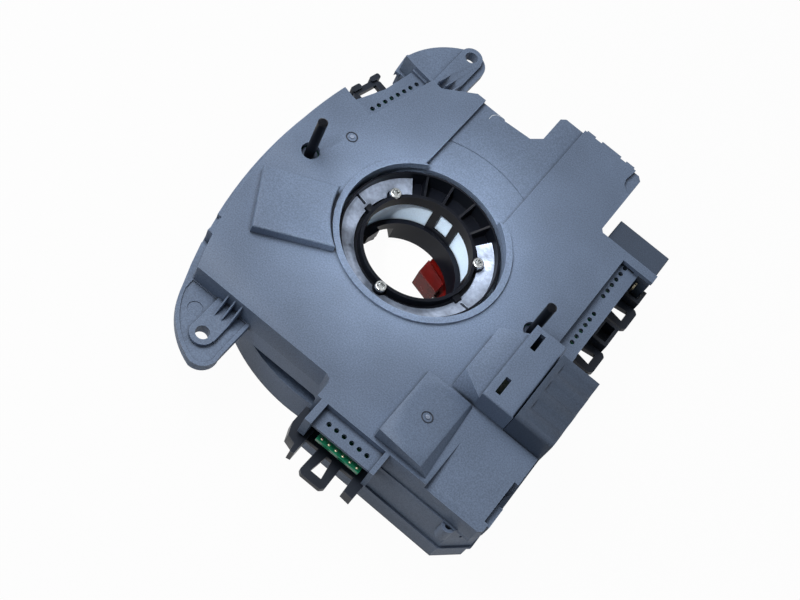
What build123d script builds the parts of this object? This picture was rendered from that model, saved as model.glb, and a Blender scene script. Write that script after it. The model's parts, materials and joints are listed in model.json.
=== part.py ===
from build123d import *
from math import cos, degrees, radians, sin, sqrt
import os

os.makedirs("parts", exist_ok=True)

# Steering clock spring, column side up. The origin is on the steering axis at the cover plate's top face.
# All sizes are millimetres.

# Heights of the housing, measured down from the plate
plate_wall = 2.2
side_wall = 2.2
cover_depth = 12.4
short_wall_depth = 21.4
box_joint_depth = 34.2
skirt_top_depth = 30.8
foot_depth = 44.2

# Outline of the cover plate
left_edge_x = -70.7
left_arc_radius = 210.0
left_arc_centre_x = left_edge_x + left_arc_radius
lower_left_y = -74.5
upper_left_y = 69.8
front_step_x = 9.9
step_round = 3.0
front_y = -84.2
right_edge_x = 89.8
corner_cut = 1.6
box_corner_cut = 8.1
connector_front_y = -45.0
connector_rear_y = -9.8
strip_edge_x = 77.5
upper_edge_y = 60.5
tongue_left_x = 9.0
tongue_right_x = 53.2
tongue_top_y = 98.6

# Column bore, collar and stepped cable panel. The hub's crown turns just inside the bore.
crown_radius = 34.0
bore_radius = crown_radius + 1.3
collar_radius = bore_radius + 2.7
collar_height = 1.5
bore_skirt_gap = 0.7
bore_skirt_wall = 1.4
panel_half_width = 20.5
panel_drop = 2.2
panel_step_radius = 53.7
panel_step = 0.4

# Raised features of the cover
pad_height = 5.0
wedge_height = 7.5
slot_box_height = 12.0
slot_box_left_x = 57.3
slot_box_right_x = 72.1
slot_box_rear_y = -4.5
ramp_height = 7.6
ramp_left_x = 46.4
edge_round = 1.0

# Hole strips where the stalk switches plug in
strip_drop = 3.6
strip_wall = 1.5
probe_hole_radius = 1.05
probe_hole_pitch = 3.67

# Clip window in the left wall
side_clip_x = -64.2
side_clip_y0 = -59.5
side_clip_y1 = -45.0

# Mounting ears
ear_top_drop = 10.5
ear_thickness = 3.7
flange_width = 3.0
ear_hole_radius = 2.9
ear_hole_x = -39.5
lower_ear_hole_y = -90.3
upper_ear_hole_y = 97.9
ear_pad_height = 1.9
ear_rim_width = 1.5
ear_rim_height = 0.7
ear_dimple_x = -48.4
ear_dimple_y = -83.6
ear_dimple_radius = 3.2

# Middle housing
floor_top_depth = 14.3
floor_thickness = 1.7
chamber_radius = 68.0
chamber_wall = 2.0
skirt_radius = 75.2
skirt_wall = 2.2
hook_depth = 19.0
hook_thickness = 2.5
bottom_hook_x = 27.9
right_hooks_y = [46.5, 18.6]
rim_width = 0.9

# Circuit board
board_top_depth = 9.0
board_thickness = 1.6
board_clearance = 0.5
board_bore_radius = bore_radius + bore_skirt_gap + bore_skirt_wall + 0.4

# Rotor hub: tube, crown and screw bosses
tube_radius = 23.4
tube_wall = 1.3
tube_lip_depth = 6.0
tube_foot_depth = 39.1
foot_bore_radius = 22.4
window_bore_radius = 23.8
window_top_depth = 12.0
window_foot_depth = 26.4
crown_wall = 0.8
crown_lip_depth = 3.0
crown_floor_depth = 10.8
crown_floor_thickness = 1.2
rib_thickness = 0.9
boss_circle_radius = 25.9
boss_radius = 2.4
boss_top_depth = 7.0
screw_head_radius = 2.45
screw_head_height = 1.6
screw_shank_radius = 0.9
screw_length = 13.0
screw_start_angle = 28.4

# Code ring: ribbon drum with the sensor's ring gear
drum_radius = crown_radius + 2.9
drum_wall = 2.3
floor_bore_radius = drum_radius + 0.3
ring_teeth = 100
tooth_module = crown_radius / 42.5
ring_gear_thickness = 2.6
ring_gear_top_depth = 11.3

# Sensor gears
gear_a_teeth = 24
gear_b_teeth = 26
gear_a_angle = 198.5
gear_b_angle = 224.5
gear_thickness = 2.3
gear_top_depth = 11.6
gear_post_radius = 2.5
running_gap = 0.06
magnet_radius = 3.0
magnet_thickness = 1.4

# Rotor front and its sockets
rotor_plate_top_depth = 30.5
rotor_plate_thickness = 1.8
rotor_front_radius = 70.7
rotor_rim_wall = 1.5
rotor_foot_depth = 43.9
airbag_socket_radius = 7.0
airbag_socket_wall = 1.5
airbag_socket_x = 44.0
airbag_socket_y = 10.0
switch_socket_width = 30.0
switch_socket_depth = 11.0
switch_socket_y = -42.0

# Ribbon chamber
ribbon_width = 13.4
ribbon_thickness = 0.5
ribbon_turns = 7
film_thickness = 0.25

# Lock tab
tab_top_depth = 41.0
tab_thickness = 1.6
tab_travel = 1.6
tab_left_x = 4.3
tab_right_x = 19.8
tab_inner_y = 8.6
tab_grip_top_depth = 33.0
tab_grip_foot_depth = 43.9
tab_neck_width = 8.0
tab_end_radius = 72.5
lock_notches = 12

# Connectors
main_connector_left_x = 72.4
main_connector_right_x = 90.4
main_connector_top = 14.2
side_connector_left_x = 57.5
side_connector_right_x = 83.8
side_connector_front_y = 58.0
side_connector_rear_y = 77.0
side_connector_top_depth = 6.0
side_connector_foot_depth = 24.0
side_connector_round = 0.8
connector_round = 2.5
connector_wall = 2.0
connector_flute_radius = 6.0
connector_flute_depth = 0.8
contact_size = 0.8

# Locating pins
pin_radius = 2.1
pin_top = 22.0
pin_recess_radius = 4.0
left_pin_x = -58.5
right_pin_x = 57.3
pin_y = -0.7

fit_gap = 0.3


def block(x0, x1, y0, y1, z0, z1):
    """A box between two corners."""
    centre = ((x0 + x1) / 2, (y0 + y1) / 2, (z0 + z1) / 2)
    return Pos(*centre) * Box(abs(x1 - x0), abs(y1 - y0), abs(z1 - z0))


def post(x, y, radius, z0, z1):
    """An upright cylinder."""
    return Pos(x, y, (z0 + z1) / 2) * Cylinder(radius, abs(z1 - z0))


def ring(inner, outer, z0, z1, x=0, y=0):
    """An upright tube."""
    return post(x, y, outer, z0, z1) - post(x, y, inner, z0, z1)


def raise_face(face, z0, z1):
    """A flat outline raised from z0 to z1."""
    return extrude(Pos(0, 0, z0) * face, amount=z1 - z0, dir=(0, 0, 1))


def prism(points, z0, z1):
    """A polygon raised from z0 to z1."""
    return raise_face(make_face(Polyline(*points, close=True)), z0, z1)


def polar(radius, angle):
    return radius * cos(radians(angle)), radius * sin(radians(angle))


def left_arc_x(y, radius=left_arc_radius):
    """Where the left edge's arc stands at a height y of the outline."""
    return left_arc_centre_x - sqrt(radius**2 - y**2)


def inset(face, distance):
    return offset(face, amount=-distance, kind=Kind.INTERSECTION)


def round_top(solid, radius=edge_round):
    """Rounds the edges of a solid's top face."""
    edges = solid.edges().group_by(Axis.Z)[-1]
    return fillet(edges, radius)


def sector(angle0, angle1, reach, z0, z1):
    """An upright pie slice between two angles."""
    middle = (angle0 + angle1) / 2
    half = (angle1 - angle0) / 2
    far = reach / cos(radians(half))
    points = [(0, 0), polar(far, middle - half), polar(reach * 1.2, middle), polar(far, middle + half)]
    return prism(points, z0, z1)


# Outlines shared by the cover, the housing and the board
tongue_points = [
    (tongue_right_x, upper_edge_y + 1.5),
    (tongue_right_x, tongue_top_y - 2),
    (tongue_right_x - 2, tongue_top_y),
    (tongue_left_x + 2, tongue_top_y),
    (tongue_left_x, tongue_top_y - 2),
    (tongue_left_x, 82),
    (4.7, 77.4),
    (-8.5, 76.3),
    (-9.2, 77),
    (-25, 77),
    (-38, 66.8),
    (-52.8, 68.7),
    (left_arc_x(upper_left_y), upper_left_y),
]
outline_points = [
    (left_arc_x(lower_left_y), lower_left_y),
    (front_step_x - step_round, lower_left_y),
    (front_step_x - 0.3 * step_round, lower_left_y - 0.3 * step_round),
    (front_step_x, lower_left_y - step_round),
    (front_step_x, front_y),
    (right_edge_x - corner_cut, front_y),
    (right_edge_x, front_y + corner_cut),
    (right_edge_x, connector_rear_y + 0.6),
    (strip_edge_x, connector_rear_y + 0.6),
    (strip_edge_x, upper_edge_y),
    (54.5, upper_edge_y),
] + tongue_points
left_arc = ThreePointArc(outline_points[-1], (left_arc_x(0), 0), outline_points[0])
outline = make_face(Polyline(*outline_points).edges() + left_arc.edges())
left_strip_points = [(-51.3, 31.4), (-62.2, 34.2), (-55.8, 50), (-52.6, 67.4), (-43.5, 66.2), (-45.7, 57)]
left_strip_outside = [(-51.3, 31.4), (-80, 38.3), (-80, 67), (-52.6, 67.4), (-43.5, 66.2), (-45.7, 57)]
box_side_x = right_edge_x + 1.5
corner_points = [
    (front_step_x, front_y),
    (box_side_x - box_corner_cut - 1.5, front_y - 1),
    (box_side_x, front_y + box_corner_cut),
    (box_side_x, connector_rear_y + 0.6),
    (50, connector_rear_y + 0.6),
    (front_step_x, lower_left_y + 10),
]
corner_outline = make_face(Polyline(*corner_points, close=True)) - Circle(skirt_radius)

floor_z = -floor_top_depth
board_z = -board_top_depth
board_foot_z = board_z - board_thickness
joint_z = -cover_depth
wide = 200.0

# Main connector: mouth towards +X, contacts bent down into the board
connector_y = (connector_front_y + connector_rear_y) / 2
main_pin_rows = [1.0, 7.0]
main_pin_count = 9
main_pin_pitch = 3.3


def bent_contact(x_tip, x_bend, y, z_row, z_foot):
    """A square contact that runs along X and turns down at its bend."""
    half = contact_size / 2
    level = block(x_bend, x_tip, y - half, y + half, z_row - half, z_row + half)
    return level + block(x_bend, x_bend + contact_size, y - half, y + half, z_foot, z_row + half)


main_connector_pins = Part()
for row, row_z in enumerate(main_pin_rows):
    bend_x = main_connector_left_x + 0.4 + (1 - row) * 1.3
    for column in range(main_pin_count):
        pin_place = connector_y + (column - (main_pin_count - 1) / 2) * main_pin_pitch
        main_connector_pins += bent_contact(main_connector_right_x - 4.6, bend_x, pin_place, row_z,
                                            board_foot_z - 0.8)

mouth_z0 = board_z + 5
mouth_z1 = main_connector_top - connector_wall
main_connector = block(main_connector_left_x, main_connector_right_x, connector_front_y, connector_rear_y,
                       board_z, main_connector_top)
front_top_edge = main_connector.edges().filter_by(Axis.X).group_by(Axis.Z)[-1].sort_by(Axis.Y)[0]
main_connector = fillet(front_top_edge, connector_round)
flute_z = main_connector_top + connector_flute_radius - connector_flute_depth
for flute_y in (connector_y + 11.5, connector_y + 2.0, connector_y - 8.0):
    flute = Rot(0, 90, 0) * Cylinder(connector_flute_radius, wide)
    main_connector -= flute.moved(Pos(main_connector_left_x + 2.5 + wide / 2, flute_y, flute_z))
mouth = block(
    main_connector_left_x + 3,
    wide,
    connector_front_y + connector_wall,
    connector_rear_y - connector_wall,
    mouth_z0,
    mouth_z1 - 0.8,
)
main_connector -= mouth
main_connector -= main_connector_pins

# Side connector: mouth towards +Y, contacts turned up into the board
side_connector_x = (side_connector_left_x + side_connector_right_x) / 2
side_pin_rows = [-17.0, -12.0]
side_pin_count = 6
side_pin_pitch = 3.4
side_connector = block(
    side_connector_left_x,
    side_connector_right_x,
    side_connector_front_y,
    side_connector_rear_y,
    -side_connector_foot_depth,
    -side_connector_top_depth,
)
side_connector = round_top(side_connector, side_connector_round)
side_connector -= block(
    side_connector_left_x + connector_wall,
    side_connector_right_x - connector_wall,
    side_connector_front_y + 3,
    wide,
    -side_connector_foot_depth + connector_wall,
    -side_connector_top_depth - connector_wall,
)
side_connector_pins = Part()
for row, row_z in enumerate(side_pin_rows):
    bend_y = side_connector_front_y - 2.9 - row * -1.5
    half = contact_size / 2
    for column in range(side_pin_count):
        pin_x = side_connector_x + (column - (side_pin_count - 1) / 2) * side_pin_pitch
        side_connector_pins += block(
            pin_x - half, pin_x + half, bend_y, side_connector_rear_y - 5, row_z - half, row_z + half
        )
        side_connector_pins += block(pin_x - half, pin_x + half, bend_y, bend_y + contact_size,
                                     row_z - half, board_z + 0.8)
side_connector -= side_connector_pins

# Rear cover
cover_face = outline - make_face(Polyline(*left_strip_outside, close=True))
cover_inner_face = inset(outline, side_wall)
plate = raise_face(cover_face, -plate_wall, 0)
cover_walls = raise_face(outline, joint_z, -plate_wall) - raise_face(cover_inner_face, joint_z, -plate_wall)
strip_roof = prism(left_strip_points, -strip_drop - strip_wall, -strip_drop)
strip_step_points = [(-62.2, 34.2), (-51.3, 31.4), (-45.7, 57), (-43.5, 66.2), (-42, 66.2), (-44.2, 57),
                     (-49.7, 29.5), (-62.2, 32.7)]
strip_step = prism(strip_step_points, -strip_drop - strip_wall, -plate_wall)
open_corner = [(-62.6, 34), (-90, 41), (-90, 75), (-52.9, 67.6), (-56.3, 50)]
rear_cover = plate + cover_walls
rear_cover -= prism(open_corner, joint_z - 1, 1)
rear_cover += strip_roof + strip_step
rear_cover += ring(bore_radius, collar_radius, -plate_wall, collar_height)
rear_cover -= post(0, 0, bore_radius, -wide, wide)
skirt_inner = bore_radius + bore_skirt_gap
rear_cover += ring(skirt_inner, skirt_inner + bore_skirt_wall, board_foot_z, -plate_wall)

# The stepped cable panel lies lower than the plate from the bore to the top edge
panel_region = block(-panel_half_width, panel_half_width, 30, tongue_top_y + 1, -panel_drop, wide)
panel_floor = block(-panel_half_width - 1.5, panel_half_width + 1.5, 30, tongue_top_y,
                    -panel_drop - plate_wall, -0.4)
rear_cover += (panel_floor & raise_face(outline, -wide, wide)) - post(0, 0, skirt_inner - 0.1, -wide, wide)
rear_cover -= panel_region
rear_cover -= (panel_region & post(0, 0, panel_step_radius, -wide, wide)).moved(Pos(0, 0, -panel_step))

# Lugs along the tongue's top edge and the pocket in its corner
for lug_x0, lug_x1 in ((21.5, 26), (43, 47.5)):
    rear_cover += block(lug_x0, lug_x1, tongue_top_y - 0.5, tongue_top_y + 1.4, joint_z, -0.6)
shelf_depth = 1.6
shelf_points = [
    (tongue_right_x - 4.2, tongue_top_y + 2),
    (tongue_right_x - 5.4, 91.5),
    (tongue_right_x - 4.6, 88.5),
    (tongue_right_x - 2.0, 86),
    (tongue_right_x + 2, 85.2),
    (tongue_right_x + 2, tongue_top_y + 2),
]
shelf = prism(shelf_points, -shelf_depth, wide)
shelf_floor = raise_face(offset(make_face(Polyline(*shelf_points, close=True)), amount=side_wall),
                         -shelf_depth - plate_wall, -1)
rear_cover += shelf_floor & raise_face(inset(outline, 0.3), -wide, wide)
rear_cover -= shelf

# Raised pad over the measuring gears
pad_points = [(-23.3, -31.6), (-52.5, -48.2), (-66.8, -22.7), (-38.6, -7.8)]
pad_arc = ThreePointArc(pad_points[3], polar(collar_radius + 1.5, 211.5), pad_points[0])
pad_face = make_face(Polyline(*pad_points).edges() + pad_arc.edges())
pad = round_top(raise_face(pad_face, -plate_wall, pad_height))
pad_hollow = raise_face(inset(pad_face, side_wall), -plate_wall, pad_height - plate_wall)
rear_cover += pad
rear_cover -= pad_hollow

# Wedge terrace, growing towards the front wall
wedge_left_x = 36.0
wedge_right_x = 56.5
wedge_rear_y = -46.0
wedge_front_y = front_y + 1.8
wedge_right_height = 5.0
facet_left_x = 62.5
facet_rear_y = -60.0
facet_drop = 3.0


def wedge(margin, sink):
    """The wedge terrace's body, or the hollow under it."""
    rear = [
        (wedge_left_x + margin, -sink),
        (wedge_left_x + margin, 1.5 - margin),
        (wedge_right_x - margin, 1.5 - margin),
        (wedge_right_x + 1.2 - margin, 0.3 - margin),
        (wedge_right_x + 1.6 - margin, -sink),
    ]
    front = [
        (wedge_left_x + margin, -sink),
        (wedge_left_x + margin, wedge_height - margin),
        (wedge_right_x - margin, wedge_right_height - margin),
        (wedge_right_x + 3.2 - margin, 1.4 - margin),
        (wedge_right_x + 6.0 - margin, -sink),
    ]
    faces = []
    for place_y, profile in ((wedge_rear_y - margin, rear), (wedge_front_y + margin, front)):
        points = [Vector(x, place_y, z) for x, z in profile]
        faces.append(make_face(Polyline(*points, close=True)))
    return loft(faces, ruled=True)


rear_cover += wedge(0, plate_wall)
rear_cover -= wedge(side_wall, plate_wall + 0.5)

# Sloping facet beside the terrace, falling towards the front wall
facet_slope = facet_drop / (facet_rear_y - front_y)


def facet(top, foot, front):
    """A slab that follows the facet's slope, from top to foot above it."""
    fall = facet_slope * (facet_rear_y - front)
    profile = [(facet_rear_y, top), (facet_rear_y, foot), (front, foot - fall), (front, top - fall)]
    points = [Vector(facet_left_x, y, z) for y, z in profile]
    width = right_edge_x + 5 - facet_left_x
    return extrude(make_face(Polyline(*points, close=True)), amount=width, dir=(1, 0, 0))


rear_cover += facet(0, -plate_wall, front_y + 1) & raise_face(inset(outline, 0.5), -wide, wide)
rear_cover -= facet(wide, 0, front_y - 5)

# Slot box with its two latch slots, and the ramp block beside it
slot_box = round_top(
    block(slot_box_left_x, slot_box_right_x, connector_front_y, slot_box_rear_y, -plate_wall, slot_box_height)
)
slot_box_hollow = block(
    slot_box_left_x + side_wall,
    slot_box_right_x - side_wall,
    connector_front_y + side_wall,
    slot_box_rear_y - side_wall,
    -plate_wall,
    slot_box_height - plate_wall,
)
ramp_top = [(ramp_left_x, -38.6), (slot_box_left_x, -45), (slot_box_left_x, -7.6), (ramp_left_x, -14.4)]
ramp_foot = [(ramp_left_x, -44.5), (slot_box_left_x, -45), (slot_box_left_x, -7.6), (ramp_left_x, -14.4)]
ramp_faces = []
for points, z in ((ramp_foot, 0), (ramp_top, ramp_height)):
    ramp_faces.append(make_face(Polyline(*[Vector(x, y, z) for x, y in points], close=True)))
ramp = loft(ramp_faces, ruled=True)
ramp_hollow = block(ramp_left_x + side_wall, slot_box_left_x, -36, -16, -plate_wall, ramp_height - plate_wall)
rear_cover += slot_box + ramp
rear_cover -= slot_box_hollow + ramp_hollow
slot_x = 61.7
slot_half_width = 1.2
slot_half_length = 4.25
for slot_y in (-11.5, -36.8):
    rear_cover -= block(
        slot_x - slot_half_width,
        slot_x + slot_half_width,
        slot_y - slot_half_length,
        slot_y + slot_half_length,
        slot_box_height - plate_wall - 1,
        wide,
    )

# Bottom strip, its two fins and the opening for the board
bottom_strip_x0 = 15.0
bottom_strip_x1 = 42.5
bottom_strip_y = -93.1
rear_cover -= block(bottom_strip_x0, bottom_strip_x1, front_y - 1, front_y + side_wall + 1,
                    joint_z, -strip_drop - strip_wall)
rear_cover += block(bottom_strip_x0 - 3, bottom_strip_x1 + 1, bottom_strip_y, front_y + side_wall,
                    -strip_drop - strip_wall, -strip_drop)
rear_cover += block(bottom_strip_x0 - 3, bottom_strip_x0, -95, front_y + 0.5, joint_z, 0)
rear_cover += block(bottom_strip_x1 + 0.5, bottom_strip_x1 + 2.5, -95, front_y + 0.5, joint_z, 0)
bottom_holes = [(20.1 + probe_hole_pitch * i, -88.7) for i in range(6)]

# Right strips beside the plate's edge
right_strip_x0 = 68.5
right_strip_y0 = 3.0
right_strip_y1 = 56.0
rear_cover -= block(right_strip_x0, wide, right_strip_y0, right_strip_y1, -strip_drop, wide)
rear_cover += block(right_strip_x0 - 1.5, strip_edge_x, right_strip_y0, right_strip_y1 + 1,
                    -strip_drop - strip_wall, -strip_drop)
rear_cover -= block(strip_edge_x - side_wall - 1, wide, right_strip_y0 + 4, right_strip_y1 - 2,
                    joint_z - 1, -strip_drop - strip_wall)
rear_cover += block(66, 84, right_strip_y1, upper_edge_y, -plate_wall, 0)
right_holes = [(71.2, 37.4 + probe_hole_pitch * i) for i in range(6)]
right_holes += [(72.7, 9.6 + (probe_hole_pitch - 0.1) * i) for i in range(6)]
left_holes = []
for i in range(8):
    left_holes.append((-47.6 - 0.86 * i, 62.9 - 3.55 * i))
for hole_x, hole_y in bottom_holes + right_holes + left_holes:
    rear_cover -= post(hole_x, hole_y, probe_hole_radius, -strip_drop - 3, -strip_drop + 1)

# Ears on the left flange, one moulding with the cover
flange_radius = left_arc_radius + flange_width
ear_z0 = -ear_top_drop - ear_thickness
ear_z1 = -ear_top_drop


def flange_x(y):
    return left_arc_x(y, flange_radius)


flange_arc = ThreePointArc((flange_x(-80), -80), (flange_x(0), 0), (flange_x(32), 32))
flange_back = ThreePointArc((left_arc_x(32) + 0.6, 32), (left_arc_x(0) + 0.6, 0),
                            (left_arc_x(-74.5) + 0.6, -74.5))
flange_edges = [
    Line((left_arc_x(-74.5) + 0.6, -74.5), (flange_x(-80), -80)),
    Line((flange_x(32), 32), (left_arc_x(32) + 0.6, 32)),
]
flange_face = make_face([flange_arc.edge(), flange_back.edge(), flange_edges[0].edge(), flange_edges[1].edge()])
lower_ear_start = (flange_x(-80), -80)
lower_ear_arcs = [
    ThreePointArc(lower_ear_start, (-48.6, -94.8), (-35.8, -102.2)).edge(),
    ThreePointArc((-35.8, -102.2), (-30.1, -99.8), (-28.5, -93)).edge(),
]
lower_ear_lines = Polyline((-28.5, -93), (-28.5, -73.5), (-58.4, -73.5), lower_ear_start)
lower_ear = make_face(lower_ear_arcs + lower_ear_lines.edges())
upper_ear_arcs = [
    ThreePointArc((-61.2, 76), (-54.8, 91), (-43, 101.8)).edge(),
    ThreePointArc((-43, 101.8), (-35.2, 102.4), (-31, 96)).edge(),
]
upper_ear_lines = Polyline((-31, 96), (-31.2, 70.5), (-38, 65.2), (-52.8, 67), (-59.9, 66.8), (-61.2, 76))
upper_ear = make_face(upper_ear_arcs + upper_ear_lines.edges())
ears = raise_face(flange_face, ear_z0, ear_z1)
ears += raise_face(lower_ear, ear_z0, ear_z1) + raise_face(upper_ear, ear_z0, ear_z1)
ears += raise_face(lower_ear - inset(lower_ear, ear_rim_width), ear_z1, ear_z1 + ear_rim_height)
ears -= post(ear_dimple_x, ear_dimple_y, ear_dimple_radius, ear_z1 - 0.4, ear_z1)
for hole_y, outward in ((lower_ear_hole_y, -1), (upper_ear_hole_y, 1)):
    wall_y = lower_left_y + 0.5 if outward < 0 else 70.5
    ears += block(ear_hole_x - 5, ear_hole_x + 5.5, wall_y, hole_y, ear_z1, ear_z1 + ear_pad_height)
    ears += post(ear_hole_x, hole_y, 5.2, ear_z1, ear_z1 + ear_pad_height)
    for rib in (-1.9, 1.5, 4.9):
        foot_y = wall_y + outward * (8 if outward < 0 else 12)
        profile = [Vector(ear_hole_x + rib, wall_y, ear_z1), Vector(ear_hole_x + rib, wall_y, -1.5),
                   Vector(ear_hole_x + rib, foot_y, ear_z1 + ear_pad_height),
                   Vector(ear_hole_x + rib, foot_y, ear_z1)]
        ears += extrude(make_face(Polyline(*profile, close=True)), amount=0.6, dir=(1, 0, 0))
ears -= raise_face(cover_inner_face, ear_z0 - 1, wide)
rear_cover += ears
for hole_y in (lower_ear_hole_y, upper_ear_hole_y):
    rear_cover -= post(ear_hole_x, hole_y, ear_hole_radius, -wide, wide)
rear_cover -= raise_face(inset(outline, -0.2), -wide, joint_z)

# Window in the left wall for the housing's clip, and openings for the connectors and the locating pins
rear_cover -= block(-wide, side_clip_x + side_wall, side_clip_y0, side_clip_y1, joint_z - 1, -3)
rear_cover -= block(
    main_connector_left_x - fit_gap, wide, connector_front_y - 0.15, connector_rear_y + 0.15, joint_z - 1, wide
)
rear_cover -= block(side_connector_left_x - 0.15, side_connector_right_x + 0.15, side_connector_front_y - 3, 66,
                    joint_z - 1, -side_connector_top_depth + 0.15)
for pin_x in (left_pin_x, right_pin_x):
    rear_cover -= post(pin_x, pin_y, pin_recess_radius, joint_z, 4)

# Middle housing
skin = raise_face(outline, -short_wall_depth, joint_z) + raise_face(corner_outline, -box_joint_depth, joint_z)
box_corner = [(box_side_x - box_corner_cut - 1.5, front_y - 1), (box_side_x, front_y + box_corner_cut),
              (box_side_x, front_y - 1)]
skin -= prism(box_corner, -wide, joint_z - side_wall)
inner_corner = inset(corner_outline, side_wall)
middle_housing = skin - raise_face(cover_inner_face, -short_wall_depth, joint_z)
middle_housing -= raise_face(inner_corner, -box_joint_depth, joint_z)
middle_housing -= post(0, 0, skirt_radius, -box_joint_depth, -short_wall_depth)
middle_housing += raise_face(inset(outline, side_wall - 0.5), floor_z - floor_thickness, floor_z)
chamber_foot_z = -rotor_plate_top_depth + fit_gap
middle_housing += ring(chamber_radius, chamber_radius + chamber_wall, chamber_foot_z, floor_z - 0.5)
middle_housing += ring(chamber_radius, skirt_radius, chamber_foot_z, chamber_foot_z + 1.8)
middle_housing += ring(skirt_radius - 3, skirt_radius, -skirt_top_depth, -rotor_plate_top_depth + 1)
middle_housing -= post(0, 0, floor_bore_radius, -wide, wide)
chamber_open = post(0, 0, chamber_radius, -box_joint_depth, floor_z - floor_thickness)
middle_housing -= chamber_open

# The left wall steps in under the hole strip
strip_wall_points = [(-62.2, 34.2), (-56.1, 50), (-52.9, 67.3), (-50.8, 67), (-54, 49.4), (-60.2, 33.6)]
middle_housing -= prism(open_corner, -short_wall_depth, joint_z)
middle_housing += prism(strip_wall_points, -short_wall_depth, joint_z)

# Rim above the corner box's joint
rim = offset(corner_outline, amount=rim_width, kind=Kind.INTERSECTION) - corner_outline
rim -= Circle(skirt_radius + 0.5)
rim_height = 2.0
middle_housing += raise_face(rim, -box_joint_depth, -box_joint_depth + rim_height)

# Bosses for the locating pins, posts for the board and for the measuring gears
for pin_x in (left_pin_x, right_pin_x):
    middle_housing += post(pin_x, pin_y, pin_recess_radius - 0.3, floor_z - 0.5, -3.2)
    middle_housing -= post(pin_x, pin_y, pin_radius, floor_z, wide)
board_posts = [(-50, -62), (0, -66), (60, -60), (60, 40), (-30, 58), (30, 66)]
for post_x, post_y in board_posts:
    middle_housing += post(post_x, post_y, 2.5, floor_z - 0.5, board_foot_z)
gear_places = []
for teeth, angle in ((gear_a_teeth, gear_a_angle), (gear_b_teeth, gear_b_angle)):
    centre_distance = (ring_teeth + teeth) * tooth_module / 2
    gear_places.append((*polar(centre_distance, angle), teeth, angle))
gear_foot_z = -gear_top_depth - gear_thickness
for gear_x, gear_y, teeth, angle in gear_places:
    middle_housing += post(gear_x, gear_y, gear_post_radius, floor_z - 0.5, gear_foot_z + 1.0)

# Screw boss on the outside of the front wall
front_boss_x = 79.0
front_boss_radius = 2.8
front_boss_foot = joint_z - 10
boss = post(front_boss_x, front_y - 0.6, front_boss_radius, front_boss_foot, joint_z - 0.8)
boss -= post(front_boss_x, front_y - 0.6, front_boss_radius - 1.3, front_boss_foot + 3, joint_z)
boss_space = block(front_boss_x - 5, front_boss_x + 5, front_y - 6, front_y + 0.5, front_boss_foot, joint_z)
middle_housing += boss & boss_space

# Latch hooks and guide blocks for the stalk switches
hook_z0 = -hook_depth - hook_thickness / 2
hook_z1 = -hook_depth + hook_thickness / 2


def latch_loop(root, tip, root_half, tip_half):
    """A latch loop in the XY plane that widens along +X, with its hole's half widths."""
    body = prism([(root, -5.6), (tip - 1.5, -6), (tip, -4.6), (tip, 4.6), (tip - 1.5, 6), (root, 5.6)],
                 hook_z0, hook_z1)
    body = fillet(body.edges().filter_by(Axis.Z), 1.1)
    hole = [(root + 1.2, -root_half), (tip - 3.6, -tip_half), (tip - 3.6, tip_half), (root + 1.2, root_half)]
    return body - prism(hole, hook_z0 - 1, hook_z1 + 1)


# Bottom group: a ledge under the strip, one loop and two guides
ledge_reach = 8.5
guide_foot_z = hook_z0 - 0.8
ledge_y = front_y - ledge_reach
middle_housing += block(front_step_x - 1.6, 44.5, ledge_y, front_y + 0.5, hook_z0, hook_z1)
bottom_loop = Rot(0, 0, -90) * latch_loop(-ledge_y - 1, -front_y + 21, 1.25, 2.6)
middle_housing += bottom_loop.moved(Pos(bottom_hook_x, 0, 0))
left_guide = [(8.3, front_y + 0.5), (8.3, ledge_y), (10.3, ledge_y - 5.2), (14.2, ledge_y - 6.4),
              (14.8, ledge_y - 10), (16.6, ledge_y - 9.6), (16.6, front_y + 0.5)]
right_guide = [(39, front_y + 0.5), (39.9, ledge_y - 8), (44.4, ledge_y - 8.4), (44.6, front_y + 0.5)]
middle_housing += prism(left_guide, guide_foot_z, joint_z - 1.5)
middle_housing += prism(right_guide, guide_foot_z, joint_z - 2.5)

# Right group: two loops and two guide sockets
for loop_y in right_hooks_y:
    middle_housing += latch_loop(strip_edge_x - 0.5, strip_edge_x + 10.3, 1.9, 2.9).moved(Pos(0, loop_y, 0))
for guide_y0, guide_y1 in ((52.5, 60.0), (24.8, 36.5)):
    guide = block(strip_edge_x - 0.5, strip_edge_x + 8, guide_y0, guide_y1, guide_foot_z, joint_z - 0.6)
    guide -= block(strip_edge_x + 1.5, strip_edge_x + 6.5, guide_y0 + 1.5, guide_y1 - 1.5,
                   guide_foot_z + 1.5, wide)
    middle_housing += guide

# Upper left bracket under the hole strip, with its slot and two knobs
bracket = [(-56.5, 46.8), (-66.2, 47.6), (-68.2, 49.6), (-65.4, 61.6), (-62.6, 62.6), (-53.4, 60.6)]
bracket_slot = [(-62.2, 49.4), (-65.4, 49.9), (-63.0, 59.6), (-60.0, 58.9)]
middle_housing += prism(bracket, hook_z0, hook_z1) - prism(bracket_slot, hook_z0 - 1, hook_z1 + 1)
bracket_lean = 77
for knob_x, knob_y in ((-67.9, 51.2), (-65.4, 61.9)):
    knob = block(-2.6, 2.6, -1.3, 1.3, hook_z0, hook_z1 + 1.2)
    knob = fillet(knob.edges().filter_by(Axis.Z), 0.9)
    middle_housing += Pos(knob_x, knob_y, 0) * Rot(0, 0, bracket_lean) * knob

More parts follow.
